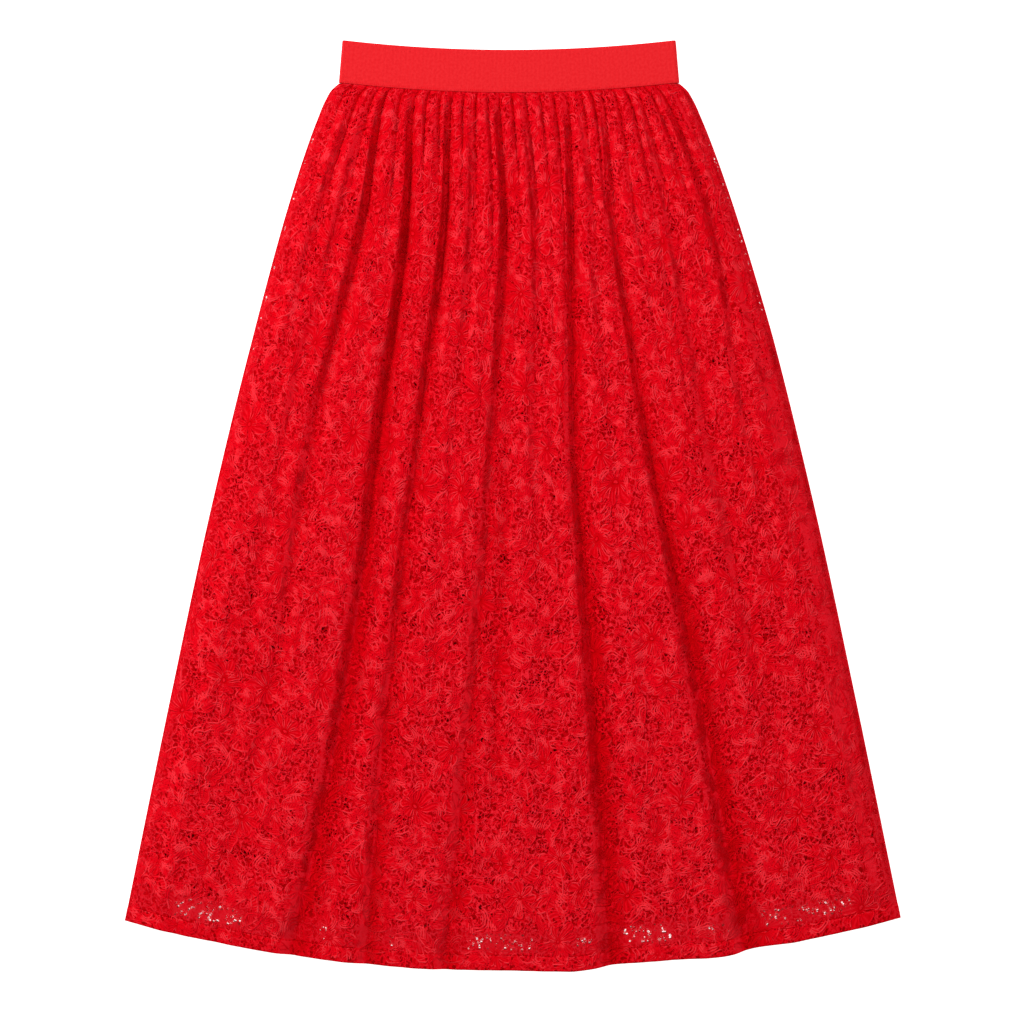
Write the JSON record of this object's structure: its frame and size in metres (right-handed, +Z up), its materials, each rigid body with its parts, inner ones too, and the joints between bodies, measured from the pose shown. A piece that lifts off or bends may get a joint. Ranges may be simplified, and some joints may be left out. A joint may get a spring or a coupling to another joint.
{
  "type": "a-line maxi skirt",
  "caption": "A-line maxi skirt of corded floral lace over a shorter lining, gathered into a wide plain elastic waistband, laid flat with its front side up.",
  "frame": {"origin": "on the surface that the skirt lies on, under the middle of its outline", "axes": "+X to the right of the front as it lies, +Y up the skirt to the waistband, +Z up from the surface"},
  "size_m": [0.798, 0.956, 0.0184],
  "materials": {
    "elastic": "matte woven elastic with fine cross ribs",
    "lace": "matte corded floral lace with small holes",
    "lining": "smooth plain lining cloth"
  },
  "bodies": {
    "root": {"waistband": "elastic", "lace_front": "lace", "lace_back": "lace", "lining_front": "lining", "lining_back": "lining"}
  },
  "joints": []
}
